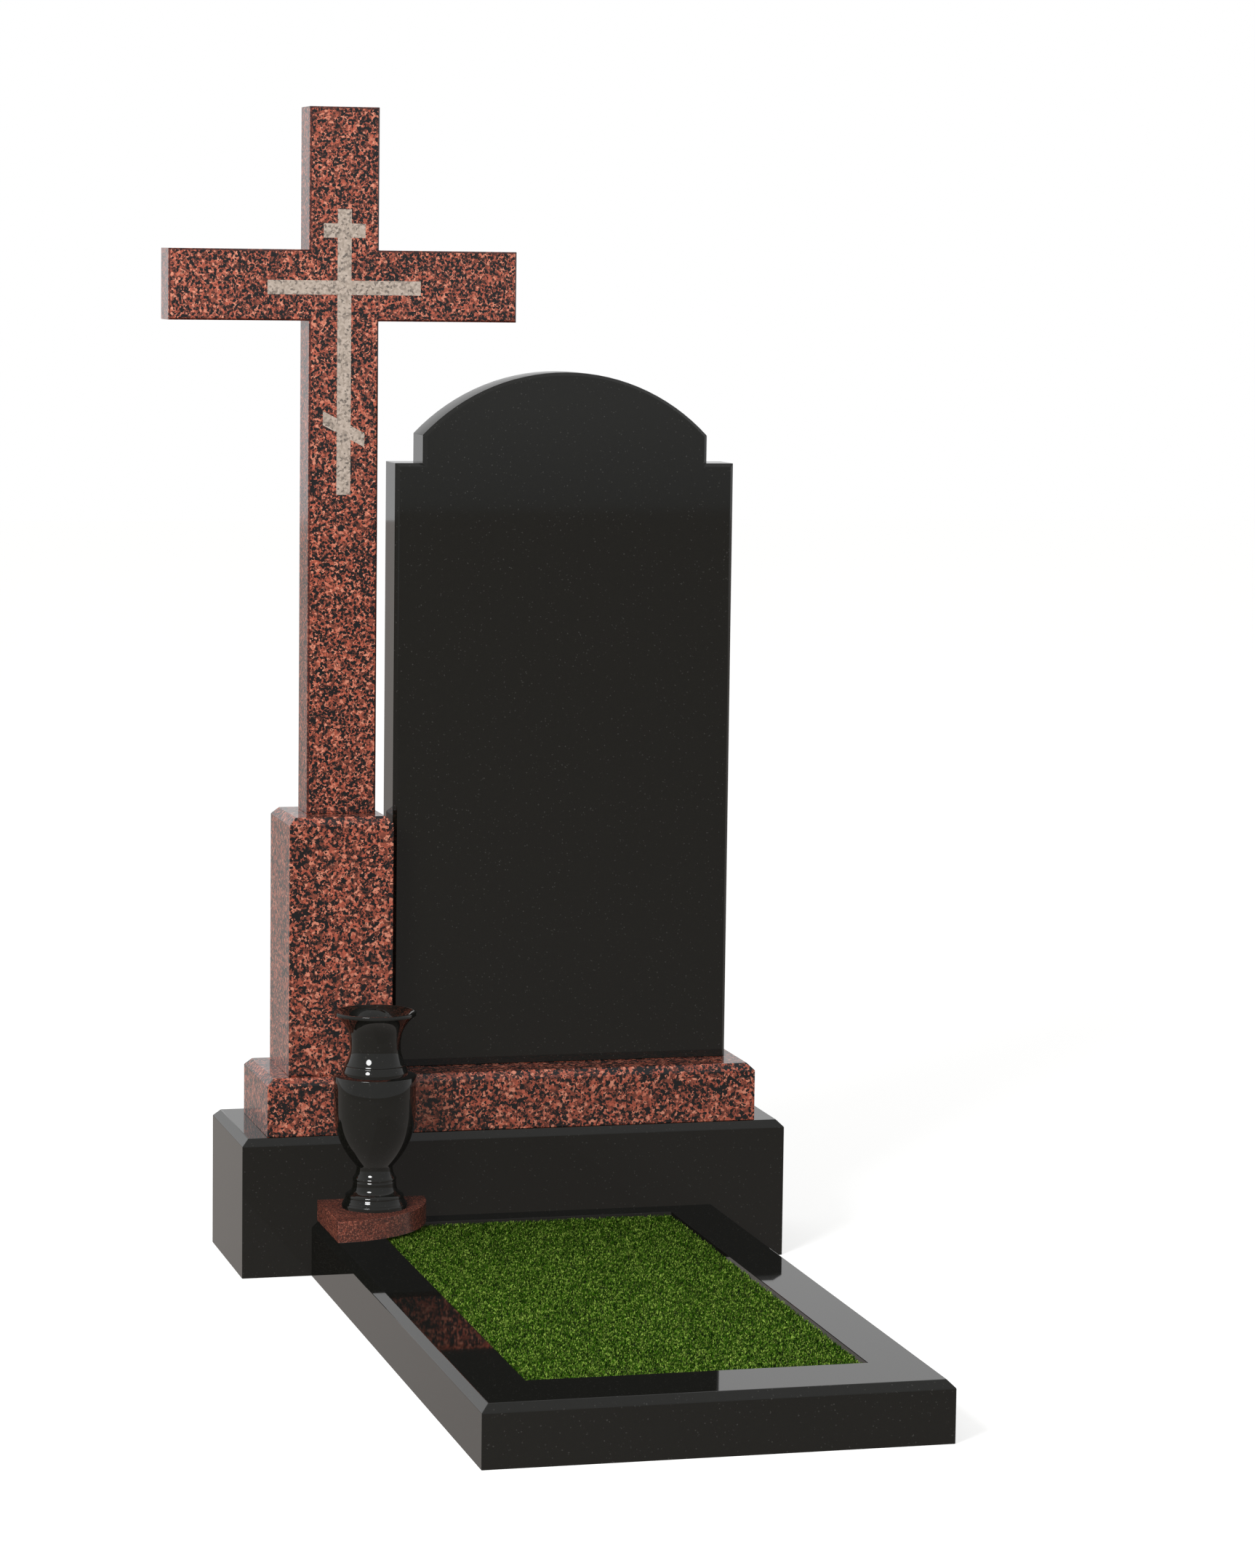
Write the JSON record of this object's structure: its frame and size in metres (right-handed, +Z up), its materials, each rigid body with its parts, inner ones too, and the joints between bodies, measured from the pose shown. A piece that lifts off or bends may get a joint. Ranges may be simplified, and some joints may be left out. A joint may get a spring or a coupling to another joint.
{
  "type": "cross headstone memorial",
  "caption": "Granite memorial: Latin cross with inlaid Orthodox cross on a pedestal beside a shouldered arched stele, on a plinth with kerb set, turf bed, corner shelf and turned vase.",
  "frame": {"origin": "bottom centre of the outer box, on the ground the memorial stands on", "axes": "+Z up, -Y towards the front of the memorial where the kerb lies, +X to the right seen from the front"},
  "size_m": [0.894, 1.33, 1.653],
  "materials": {
    "black_granite": "polished",
    "red_granite": "polished",
    "pale_granite": "polished",
    "turf": "matte"
  },
  "bodies": {
    "root": {"plinth": "black_granite", "base_beam": "red_granite", "cross_pedestal": "red_granite", "cross": "red_granite", "inlay_cross": "pale_granite", "stele": "black_granite", "kerb_left": "black_granite", "kerb_right": "black_granite", "kerb_front": "black_granite", "kerb_back": "black_granite", "turf_bed": "turf", "vase_shelf": "red_granite", "vase": "black_granite"}
  },
  "joints": []
}
